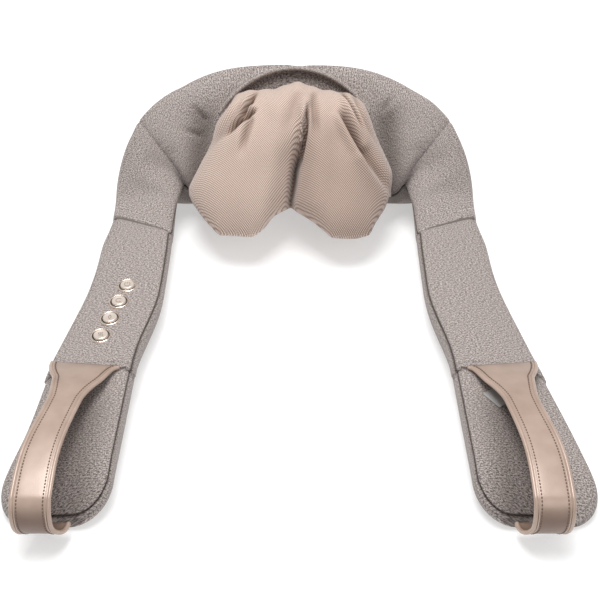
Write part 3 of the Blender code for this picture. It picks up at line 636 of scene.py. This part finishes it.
def bag_points(columns, rows):
    """Rings from the top edge over the lobes to the lower edge, one for each place across.

    s = middle + half cos^0.72 - droop, h = rise sin^0.78, where the droop reaches down to bag_hang.
    """
    u = np.linspace(-1.0, 1.0, columns)[:, None]
    u = np.sin(0.5 * math.pi * u) * (0.75 + 0.25 * np.abs(u))
    half_wide = np.where(u < 0.0, BAG_LEFT, BAG_RIGHT)
    x = u * half_wide
    a = math.pi * np.linspace(0.0, 1.0, rows)[None, :]
    c, t = np.cos(a), np.sin(a)
    keep = (1.0 - np.minimum(np.abs(u), 0.9995) ** 3.6) ** (1.0 / 2.6)
    past = np.abs(x) - np.where(u < 0.0, 0.0650, 0.0720)
    high = BAG_HIGH - 0.5 * np.where(u < 0.0, 2.1, 2.5) * (past + np.sqrt(past**2 + 0.008**2))
    high = high + 0.0075 * bump((x - 0.003) / 0.017) - 0.003 * step((x - 0.02) / 0.05)
    low = np.minimum(BAG_LOW, high - 0.010)
    middle, half = 0.5 * (high + low), 0.5 * (high - low)
    droop = np.maximum(0.0, (middle - 0.69 * half - bag_hang(x) - 0.003) / 0.67)
    s = middle + half * np.sign(c) * np.abs(c) ** 0.72 - droop * t**0.8 * 0.5 * (1.0 - c)
    h = BAG_RISE * keep * t**0.78
    cleft = x - cleft_place(s)
    low_part, lobe = step((0.125 - s) / 0.060), step((s + 0.02) / 0.03)
    h = h * (1.0 - 0.30 * low_part * bump(cleft / 0.020) - 0.36 * low_part * lobe * bump(cleft / 0.0042))
    tuck = 0.0085 * (c > 0.0) * (1.0 - np.minimum(1.0, t / 0.30)) ** 2
    return np.broadcast_to(x, s.shape), s, h + 0.0024 - tuck


def massage_bag():
    """The bag's grid with its pleats, each moved along the surface's normal and given painted shade in its valley.
    """
    x, s, h = bag_points(261, 201)
    flat = np.stack((x, s, h), axis=-1)
    out = outward(flat, wrap=False)
    out *= np.sign(out[130, 100, 2])
    pleats = (
        ((-0.0390, 0.147), (-0.0590, 0.112), 0.0023, 0.0120, 0.5),
        ((-0.0420, 0.126), (-0.0740, 0.097), 0.0025, 0.0105, 0.6),
        ((-0.0450, 0.116), (-0.0560, 0.078), 0.0034, 0.0065, 0.4),
        ((-0.0520, 0.128), (-0.1000, 0.080), 0.0065, 0.0060, 0.4),
        ((-0.0600, 0.150), (-0.0840, 0.116), 0.0045, 0.0050, 0.4),
        ((0.0145, 0.128), (0.0060, 0.066), 0.0025, 0.0110, 0.5),
        ((0.0205, 0.146), (0.0230, 0.094), 0.0042, 0.0065, 0.4),
        ((0.0040, 0.146), (-0.0110, 0.096), 0.0080, 0.0045, 0.4),
        ((0.0500, 0.148), (0.0740, 0.102), 0.0025, 0.0120, 0.5),
        ((0.0500, 0.122), (0.0840, 0.058), 0.0032, 0.0095, 0.6),
        ((0.0740, 0.084), (0.1050, 0.038), 0.0052, 0.0060, 0.6),
        ((0.0630, 0.144), (0.0900, 0.088), 0.0040, 0.0065, 0.5),
        ((-0.0250, 0.120), (-0.0400, 0.010), 0.0110, 0.0030, 0.6),
        ((0.0450, 0.100), (0.0380, 0.010), 0.0120, 0.0028, 0.6),
    )
    folds = sum(crease(x, s, *pleat) for pleat in pleats)
    folds = folds + 0.0010 * np.sin(75.0 * x + 40.0 * s) * np.sin(60.0 * s - 55.0 * x + 1.0)
    folds = folds * step(h / 0.014) * step((0.148 - s) / 0.020)
    flat = flat + out * folds[..., None]
    flat[..., 1] += 0.0006 * np.sin(360.0 * x) * step((s - 0.135) / 0.012)
    points = on_face(*np.moveaxis(flat, -1, 0))
    # Painted shade in dark: in the pleats' valleys, in the pinch between the lobes, low down near the bag's edges
    # and over the lobe right of the pinch, as if turned from the light.
    shade = sum(np.clip(-crease(x, s, *pleat[:4], 0.0) / 0.011, 0.0, 1.0) ** 1.5 for pleat in pleats[:12])
    shade = shade * step(h / 0.014) * step((0.150 - s) / 0.010)
    pinch = 0.75 * bump((x - cleft_place(s)) / 0.0030) * step((0.115 - s) / 0.04) * step((s + 0.01) / 0.03)
    under = 0.35 * step((0.020 - h) / 0.020)
    right_lobe_shade = 0.26 * step((x - cleft_place(s)) / 0.012) * step((0.135 - s) / 0.04)
    dark = np.clip(shade + pinch + under + right_lobe_shade, 0.0, 1.0)
    bag = lay("massage_bag", points, wrap=False, caps=False, seam_and_painted_shade=dark, grain=(x * (1.0 + 3.0 * h), s - 0.5 * h))
    wall = bag.modifiers.new("cloth", "SOLIDIFY")
    wall.thickness = 0.0012
    wall.offset = -1.0
    return bag


MESH_PITCH = 0.0019


def mesh_cloth():
    """Beige mesh: small holes where two waves MESH_PITCH long cross, on axes turned 38 degrees to the grain."""
    material, tree, _ = plain("beige_mesh_cloth", Roughness=0.75, Sheen_Weight=0.25, Specular_IOR_Level=0.25)
    uv = tree.nodes.new("ShaderNodeUVMap")
    uv.uv_map = "cloth"
    turned = tree.nodes.new("ShaderNodeMapping")
    turned.inputs["Rotation"].default_value = (0.0, 0.0, math.radians(38.0))
    tree.links.new(uv.outputs["UV"], turned.inputs["Vector"])
    waves = []
    for direction in ("X", "Y"):
        wave = tree.nodes.new("ShaderNodeTexWave")
        wave.bands_direction = direction
        wave.inputs["Scale"].default_value = 0.31416 / MESH_PITCH
        wave.inputs["Distortion"].default_value = 0.0
        tree.links.new(turned.outputs["Vector"], wave.inputs["Vector"])
        waves.append(wave)
    cell = tree.nodes.new("ShaderNodeMath")
    cell.operation = "MULTIPLY"
    tree.links.new(waves[0].outputs["Fac"], cell.inputs[0])
    tree.links.new(waves[1].outputs["Fac"], cell.inputs[1])
    colour = toned(tree, cell.outputs[0], ((0.02, (0.265, 0.185, 0.145)), (0.36, (0.680, 0.548, 0.480))))
    # The bag's painted shade takes the mesh down towards this deep tone.
    darkened(tree, colour, (0.27, 0.19, 0.15))
    raised(tree, cell.outputs[0], 0.22, 0.0005)
    return material


bag = massage_bag()
bag.data.materials.append(mesh_cloth())
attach(bag, "neck")
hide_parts("massage_cover")


# ---------------- the hand straps
# Champagne leather bands, flared where they are sewn under the cross hem, bound along both edges with a rolled
# border and one stitch line inside each. They arch over the pad and turn round its end.
STRAP_THICK = 0.0022
STRAP_WIDE = 0.0312
STRAP_ROOT_WIDE = 0.066


def strap_frame(side, count):
    """Centre line of a strap with its width, its across and its up directions at each station."""
    t = np.linspace(0.0, 1.0, count)
    q = np.minimum(t / 0.72, 1.0)
    b = np.radians(20.0 + 160.0 * np.clip((t - 0.72) / 0.28, 0.0, 1.0))
    curl = t >= 0.72
    y = np.where(curl, -0.2523 - 0.0182 * np.sin(b), -0.0985 - 0.1600 * q) + CENTRE_Y
    z = np.where(curl, 0.0360 + 0.0220 * np.cos(b), 0.0395 + 0.0172 * q + 0.056 * q * (1.0 - q))
    x = 0.1880 + 0.0200 * np.sin(0.5 * math.pi * np.minimum(1.0, t / 0.65)) - 0.008 * step((t - 0.85) / 0.15)
    x = x + 0.0040 * step(1.0 - t / 0.12) - 0.0025 * bump((t - 0.33) / 0.15)
    path = np.stack((side * x, y, z), axis=-1)
    way = np.gradient(path, axis=0)
    way /= np.linalg.norm(way, axis=1, keepdims=True)
    across = np.array((1.0, 0.0, 0.0)) - way * way[:, :1]
    across /= np.linalg.norm(across, axis=1, keepdims=True)
    up = np.cross(across, way)
    slim = STRAP_WIDE * (1.0 - 0.10 * bump((t - 0.33) / 0.18))
    flare = (STRAP_ROOT_WIDE - STRAP_WIDE) * (1.0 - np.minimum(t / 0.26, 1.0)) ** 1.5
    half = 0.5 * (slim + flare)
    return path, across, -up, half


def strap_band(side, word):
    """The band: a slab with slightly crowned faces, |v| from -1 to 1 across, closed at both ends."""
    path, across, up, half = strap_frame(side, 121)
    v = np.linspace(-1.0, 1.0, 15)
    outline_v = np.concatenate((v, v[::-1]))
    outline_h = np.concatenate((np.full(15, 0.5), np.full(15, -0.5))) * STRAP_THICK
    outline_h = outline_h + 0.0008 * (1.0 - np.abs(outline_v) ** 4)
    points = (
        path[:, None, :]
        + (half[:, None] * outline_v)[..., None] * across[:, None, :]
        + outline_h[None, :, None] * up[:, None, :]
    )
    t = np.linspace(0.0, 1.0, 121)
    # Painted shade on the band: where it turns under at the curl and where it tucks in at the root; inset darkens
    # a line inside each bound edge.
    curl_and_root_shade = 0.95 * step((t - 0.735) / 0.08) - 0.25 * step((t - 0.83) / 0.1)
    curl_and_root_shade = curl_and_root_shade + 0.35 * bump(t / 0.035) + 0.10 * bump((t - 0.12) / 0.10)
    inset = 0.5 * bump((np.abs(outline_v) - 0.80) / 0.05)
    return lay("strap_band_" + word, points, seam_and_painted_shade=np.clip(curl_and_root_shade[:, None] + inset[None, :], 0.0, 1.0))


def leather():
    """Champagne leather: fine pebbled grain, a soft gloss and a slight change of tone over its length."""
    coat = {"Coat_Weight": 0.25, "Coat_Roughness": 0.3}
    material, tree, _ = plain("champagne_leather", Roughness=0.36, Metallic=0.15, **coat)
    place = tree.nodes.new("ShaderNodeTexCoord")
    grain = tree.nodes.new("ShaderNodeTexVoronoi")
    grain.inputs["Scale"].default_value = 900.0
    tree.links.new(place.outputs["Object"], grain.inputs["Vector"])
    cloud = tree.nodes.new("ShaderNodeTexNoise")
    cloud.inputs["Scale"].default_value = 45.0
    tree.links.new(place.outputs["Object"], cloud.inputs["Vector"])
    colour = toned(tree, cloud.outputs["Fac"], ((0.3, (0.360, 0.262, 0.210)), (0.7, (0.440, 0.330, 0.270))))
    # Where the strap's darkening attribute is 1, mostly painted shade at the curl and the root, the leather goes
    # down to this deep tone.
    darkened(tree, colour, (0.34, 0.27, 0.23))
    raised(tree, grain.outputs["Distance"], 0.12, 0.0003)
    return material


def finish(name, low, high, scale, ends=(0.0, 1.0), stretch=(1, 1, 1), detail=2.0, relief=(0.0, 0.0), **settings):
    """A finish from one noise over Object coordinates: its tone runs from low to high between ends, and as relief.

    stretch draws the noise out along an axis; relief is its strength and height; settings go to plain.
    """
    material, tree, _ = plain(name, **settings)
    place = tree.nodes.new("ShaderNodeTexCoord")
    drawn = tree.nodes.new("ShaderNodeMapping")
    drawn.inputs["Scale"].default_value = stretch
    grain = tree.nodes.new("ShaderNodeTexNoise")
    grain.inputs["Scale"].default_value = scale
    grain.inputs["Detail"].default_value = detail
    tree.links.new(place.outputs["Object"], drawn.inputs["Vector"])
    tree.links.new(drawn.outputs["Vector"], grain.inputs["Vector"])
    colour = toned(tree, grain.outputs["Fac"], ((ends[0], low), (ends[1], high)))
    tree.links.new(colour, tree.nodes["Principled BSDF"].inputs["Base Color"])
    if relief[0]:
        raised(tree, grain.outputs["Fac"], *relief)
    return material


def thread(name, colour):
    """Waxed thread, an engraved mark, or the near-black ring painted as shade in a key's gap: its colour, mottled
    down to six tenths of it.
    """
    return finish(name, [0.6 * part for part in colour], colour, 1500.0, Roughness=0.6)


def stitches(name, path, normal, pitch, length, radius):
    """A row of stitches: short spindles laid along a path, one every pitch, all in one mesh."""
    way = np.gradient(path, axis=0)
    distance = run(path[:, None, :], 0)[:, 0]
    places = np.arange(0.5 * pitch, distance[-1], pitch)
    centre = np.stack([np.interp(places, distance, path[:, k]) for k in range(3)], axis=-1)
    way = np.stack([np.interp(places, distance, way[:, k]) for k in range(3)], axis=-1)
    up = np.stack([np.interp(places, distance, normal[:, k]) for k in range(3)], axis=-1)
    way /= np.linalg.norm(way, axis=1, keepdims=True)
    side = np.cross(way, up)
    side /= np.linalg.norm(side, axis=1, keepdims=True)
    up = np.cross(side, way)
    along = np.array((-0.5, -0.42, 0.0, 0.42, 0.5)) * length
    girth = np.array((0.25, 0.85, 1.0, 0.85, 0.25)) * radius
    a = 2.0 * math.pi * np.arange(6) / 6
    spokes = np.cos(a)[:, None] * side[:, None, :] + np.sin(a)[:, None] * up[:, None, :]
    points = (
        centre[:, None, None, :]
        + along[None, :, None, None] * way[:, None, None, :]
        + girth[None, :, None, None] * spokes[:, None, :, :]
    )
    count = len(places)
    k, r, c = np.meshgrid(np.arange(count), np.arange(4), np.arange(6), indexing="ij")
    base = k * 30
    nxt = (c + 1) % 6
    quads = base[..., None] + np.stack((r * 6 + c, r * 6 + nxt, (r + 1) * 6 + nxt, (r + 1) * 6 + c), axis=-1)
    start = np.arange(count)[:, None] * 30
    caps = [(start + np.arange(5, -1, -1)).tolist(), (start + 24 + np.arange(6)).tolist()]
    mesh = bpy.data.meshes.new(name)
    mesh.from_pydata(points.reshape(-1, 3).tolist(), [], quads.reshape(-1, 4).tolist() + caps[0] + caps[1])
    mesh.polygons.foreach_set("use_smooth", np.ones(len(mesh.polygons), bool))
    mesh.update()
    piece = bpy.data.objects.new(name, mesh)
    bpy.context.scene.collection.objects.link(piece)
    return piece


LEATHER = leather()
STRAP_THREAD = thread("strap_thread", (0.17, 0.105, 0.075))
for side, word in ((-1.0, "left"), (1.0, "right")):
    band = strap_band(side, word)
    band.data.materials.append(LEATHER)
    path, across, up, half = strap_frame(side, 181)
    pieces = [band]
    for edge, letter in ((-1.0, "a"), (1.0, "b")):
        rim = path + (edge * (half - 0.0006))[:, None] * across + 0.0002 * up
        roll = tube("strap_roll_%s_%s" % (word, letter), rim, 0.0019)
        roll.data.materials.append(LEATHER)
        inner_rim = path + (edge * (half - 0.0032))[:, None] * across + 0.0011 * up
        lip = tube("strap_lip_%s_%s" % (word, letter), inner_rim, 0.0007)
        lip.data.materials.append(LEATHER)
        line = path + (edge * (half - 0.0050))[:, None] * across + 0.0016 * up
        sewn = stitches("strap_stitch_%s_%s" % (word, letter), line, up, 0.0029, 0.0020, 0.00068)
        sewn.data.materials.append(STRAP_THREAD)
        pieces += [roll, lip, sewn]
    for piece in pieces:
        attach(piece, "arm_" + word)
    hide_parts("hand_strap_" + word)


# ---------------- the keys
# Four round keys in champagne metal rings on the left arm. Each cap is moulded, slightly crowned, with a plain
# engraved mark. The rings are turned and polished and clip into the control plate under the cloth.
CAP_PROFILE = (
    (0.0001, -0.0004), (0.0020, -0.00038), (0.0040, -0.0003), (0.0052, -0.00005), (0.0058, 0.0),
    (0.0064, -0.0002), (0.0068, -0.0007), (0.0070, -0.0015), (0.0071, -0.0024), (0.0071, -0.0095),
    (0.0055, -0.0095), (0.0055, -0.0198), (0.0001, -0.0198),
)
RING_PROFILE = (
    (0.0081, -0.0016), (0.0082, -0.0007), (0.0085, -0.0001), (0.0089, 0.0), (0.0094, -0.0003),
    (0.0097, -0.0009), (0.0098, -0.0016),
)
# The near-black ring in the gap between each key cap and its metal ring: painted shade for the dark gap.
GAP_SHADE_PROFILE = (
    (0.0072, -0.0080), (0.0072, -0.0012), (0.0074, -0.0007), (0.0080, -0.0006), (0.00815, -0.0010),
    (0.00815, -0.0080),
)
MARK_SIZE = 0.0027
MARK_DEEP = 0.0004


def lathe(name, profile, centre, steps=64, closed=False):
    """A turned piece: its (radius, height) profile carried round a vertical axis at centre."""
    profile = np.asarray(profile, float)
    a = 2.0 * math.pi * np.arange(steps) / steps
    r, z = profile[:, 0][:, None], profile[:, 1][:, None]
    points = np.stack((centre[0] + r * np.cos(a), centre[1] + r * np.sin(a), centre[2] + z + 0.0 * a), axis=-1)
    if closed:
        points = np.concatenate((points, points[:1]))
        piece = lay(name, points, caps=False)
        return piece
    return lay(name, points)


# Champagne anodised metal with a faint fine mottle, and pearl champagne plastic with a fine spark texture.
METAL = finish("champagne_metal", (0.80, 0.68, 0.58), (0.90, 0.79, 0.70), 2500.0, Metallic=1.0, Roughness=0.24)
PEARL = {"relief": (0.1, 0.0001), "Roughness": 0.26, "Metallic": 0.45}
KEY = finish("key_plastic", (0.62, 0.53, 0.46), (0.72, 0.63, 0.56), 3000.0, **PEARL)
MARK = thread("key_mark", (0.22, 0.16, 0.13))
# Near-black colour for the painted shade in each key's gap.
GAP_SHADE = thread("key_gasket_rubber", (0.030, 0.026, 0.024))


def mark_strokes(kind):
    """The engraved marks, as strokes in a unit circle: an open ring and a bar, a turning arrow, a leaf, waves."""
    t = np.linspace(0.0, 1.0, 41)
    if kind == 0:
        a = math.radians(60.0) + math.radians(-300.0) * t
        return [np.stack((np.cos(a), np.sin(a)), -1), np.stack((0.0 * t, 0.25 + 0.85 * t), -1)]
    if kind == 1:
        a = math.radians(30.0) + math.radians(290.0) * t
        tip = np.array((math.cos(math.radians(320.0)), math.sin(math.radians(320.0))))
        return [np.stack((np.cos(a), np.sin(a)), -1), tip + np.stack((0.5 * (t - 1.0), 0.15 * (t - 1.0)), -1)]
    if kind == 2:
        return [np.stack((s * 0.45 * np.sin(math.pi * t), 2.0 * t - 1.0), -1) for s in (-1.0, 1.0)]
    return [np.stack((x + 0.22 * np.sin(2.0 * math.pi * t), 1.8 * t - 0.9), -1) for x in (-0.6, 0.0, 0.6)]


for number in range(1, 5):
    low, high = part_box("button_%d" % number)
    centre = (0.5 * (low[0] + high[0]), 0.5 * (low[1] + high[1]), high[2])
    cap = lathe("key_cap_%d" % number, CAP_PROFILE, centre)
    cap.data.materials.append(KEY)
    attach(cap, "button_%d" % number)
    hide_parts("button_%d" % number)
    for k, stroke in enumerate(mark_strokes(number - 1)):
        flat = np.array(centre) + np.column_stack((MARK_SIZE * stroke, np.full(len(stroke), -MARK_DEEP)))
        drawn = tube("key_mark_%d_%d" % (number, k + 1), flat, 0.00028, 8)
        drawn.data.materials.append(MARK)
        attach(drawn, "button_%d" % number)
    low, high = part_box("bezel_%d" % number)
    foot = low[2] - high[2]
    top = (centre[0], centre[1], high[2])
    profile = [(RING_PROFILE[0][0], foot), *RING_PROFILE, (RING_PROFILE[-1][0], foot)]
    ring = lathe("key_ring_%d" % number, profile, top, closed=True)
    ring.data.materials.append(METAL)
    # The near-black ring in the gap round the cap, standing for its shade.
    gap_shade = lathe("key_gasket_%d" % number, GAP_SHADE_PROFILE, top, closed=True)
    gap_shade.data.materials.append(GAP_SHADE)
    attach(gap_shade, "arm_left")
    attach(ring, "arm_left")
    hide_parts("bezel_%d" % number)


# ---------------- the works
# Under the covers: a screwed plastic housing, a motor geared to two turning arms with four kneading heads, a lamp,
# circuit boards, the key plate, a power socket and a satin care label. Each has its own finish: sparked plastic,
# drawn steel, sintered bronze, milky nylon, glass fibre board or ribbon.
def made(name, low, high, scale, rough=0.5, metal=0.0, stretch=(1, 1, 1), height=0.0002):
    """The finish of a part under the covers: three octaves of grain in a narrow band of tone, lightly raised."""
    look = {"ends": (0.35, 0.65), "detail": 3.0, "relief": (0.3, height), "Roughness": rough, "Metallic": metal}
    return finish(name, low, high, scale, stretch=stretch, **look)


FINISHES = {
    "black_plastic": made("sparked_black_plastic", (0.018, 0.018, 0.019), (0.034, 0.033, 0.033), 1600.0),
    "steel": made("drawn_steel", (0.46, 0.45, 0.44), (0.62, 0.61, 0.60), 700.0, 0.3, 1.0, (1, 1, 0.08), 0.0001),
    "bronze": made("sintered_bronze", (0.36, 0.22, 0.11), (0.50, 0.32, 0.17), 1400.0, 0.42, 1.0),
    "board": made(
        "green_circuit_board", (0.012, 0.080, 0.036), (0.022, 0.135, 0.060), 240.0, 0.35, 0.0, (1, 0.1, 1)
    ),
    "lamp": made("red_lamp_glass", (0.38, 0.018, 0.012), (0.55, 0.040, 0.022), 120.0, 0.12),
    "gear_plastic": made("milky_nylon", (0.62, 0.59, 0.52), (0.72, 0.69, 0.62), 300.0, 0.4),
    "node_plastic": made("kneading_head_plastic", (0.055, 0.040, 0.036), (0.085, 0.062, 0.055), 500.0, 0.45),
    "label": made("satin_ribbon", (0.26, 0.25, 0.24), (0.36, 0.35, 0.34), 900.0, 0.55, 0.0, (1, 6, 1)),
}
for part in frame["record"]["subparts"]:
    named = FINISHES.get("label" if part["node"] == "care_label" else part["material_slot"])
    if named and part["node"] in nodes:
        mesh = nodes[part["node"]].data
        mesh.materials.clear()
        mesh.materials.append(named)


# The socket comes through the collar's back in a moulded rim, set on the cover's surface round the CAD socket.
socket_low, socket_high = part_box("power_socket")
socket_x, socket_z = (float(0.5 * (socket_low[k] + socket_high[k])) for k in (0, 2))
skin = np.array([tuple(v.co) for v in collar.data.vertices])
close = (np.abs(skin[:, 0] - socket_x) < 0.006) & (np.abs(skin[:, 2] - socket_z) < 0.006) & (skin[:, 1] > 0.2)
socket_y = float(skin[close, 1].max())


def facing_back(name, profile, finish_of):
    """A turned piece about an axis along +Y through the socket: its (radius, depth) profile carried round."""
    piece = lathe(name, profile, (0.0, 0.0, 0.0), steps=40)
    flat = np.array([tuple(v.co) for v in piece.data.vertices])
    placed = np.stack((socket_x - flat[:, 0], socket_y + flat[:, 2], socket_z + flat[:, 1]), axis=-1)
    piece.data.vertices.foreach_set("co", placed.ravel().astype(np.float32))
    piece.data.update()
    piece.data.materials.append(finish_of)
    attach(piece, "neck")
    return piece


rim = [(0.0001, 0.0004), (0.0046, 0.0004), (0.0050, 0.0010), (0.0053, 0.0020), (0.0062, 0.0024), (0.0074, 0.0022),
       (0.0084, 0.0014), (0.0088, 0.0002), (0.0088, -0.0040), (0.0001, -0.0040)]
facing_back("socket_rim", rim, FINISHES["black_plastic"])
pin = [(0.0001, 0.0016), (0.0007, 0.0015), (0.0010, 0.0011), (0.0010, -0.0010), (0.0001, -0.0010)]
facing_back("socket_pin", pin, FINISHES["steel"])


# ---------------- the room
# A pale floor, a bright even sky and two large soft lamps.
def room_paint(name, colour):
    material = bpy.data.materials.new(name)
    material.use_nodes = True
    shader = material.node_tree.nodes["Principled BSDF"]
    shader.inputs["Base Color"].default_value = (*colour, 1.0)
    shader.inputs["Roughness"].default_value = 0.9
    shader.inputs["Emission Color"].default_value = (1.0, 1.0, 1.0, 1.0)
    shader.inputs["Emission Strength"].default_value = 0.42
    return material


floor_mesh = bpy.data.meshes.new("floor")
floor_mesh.from_pydata([(-4, -4, 0), (4, -4, 0), (4, 4, 0), (-4, 4, 0)], [], [(0, 1, 2, 3)])
floor = bpy.data.objects.new("floor", floor_mesh)
floor.data.materials.append(room_paint("floor_paint", (0.62, 0.62, 0.62)))
bpy.context.scene.collection.objects.link(floor)

world = bpy.data.worlds.new("sky")
world.use_nodes = True
world.node_tree.nodes["Background"].inputs["Color"].default_value = (1.0, 1.0, 1.0, 1.0)
world.node_tree.nodes["Background"].inputs["Strength"].default_value = 0.52
bpy.context.scene.world = world
bpy.context.scene.view_settings.view_transform = "Standard"


def lamp(name, place, target, size, power):
    """A square soft lamp at place, turned towards target."""
    light = bpy.data.lights.new(name, "AREA")
    light.size = size
    light.energy = power
    obj = bpy.data.objects.new(name, light)
    obj.location = place
    way = np.array(target) - np.array(place)
    yaw = math.atan2(-way[0], way[1]) if abs(way[0]) + abs(way[1]) > 0 else 0.0
    pitch = math.atan2(-way[2], math.hypot(way[0], way[1]))
    obj.rotation_euler = (0.5 * math.pi - pitch, 0.0, yaw)
    bpy.context.scene.collection.objects.link(obj)


lamp("key_lamp", (-0.12, 0.15, 1.75), (0.0, 0.0, 0.05), 0.9, 30.0)
lamp("fill_lamp", (0.6, -1.3, 1.3), (0.0, 0.0, 0.05), 1.0, 5.0)

camera_data = bpy.data.cameras.new("camera")
camera_data.lens = 60.0
camera_data.sensor_width = 36.0
camera = bpy.data.objects.new("camera", camera_data)
CAMERA_RISE = math.radians(43.0)
camera.location = (0.006, CENTRE_Y - math.cos(CAMERA_RISE), 0.03 + math.sin(CAMERA_RISE))
camera.rotation_euler = (0.5 * math.pi - CAMERA_RISE, 0.0, 0.0)
bpy.context.scene.collection.objects.link(camera)
bpy.context.scene.camera = camera
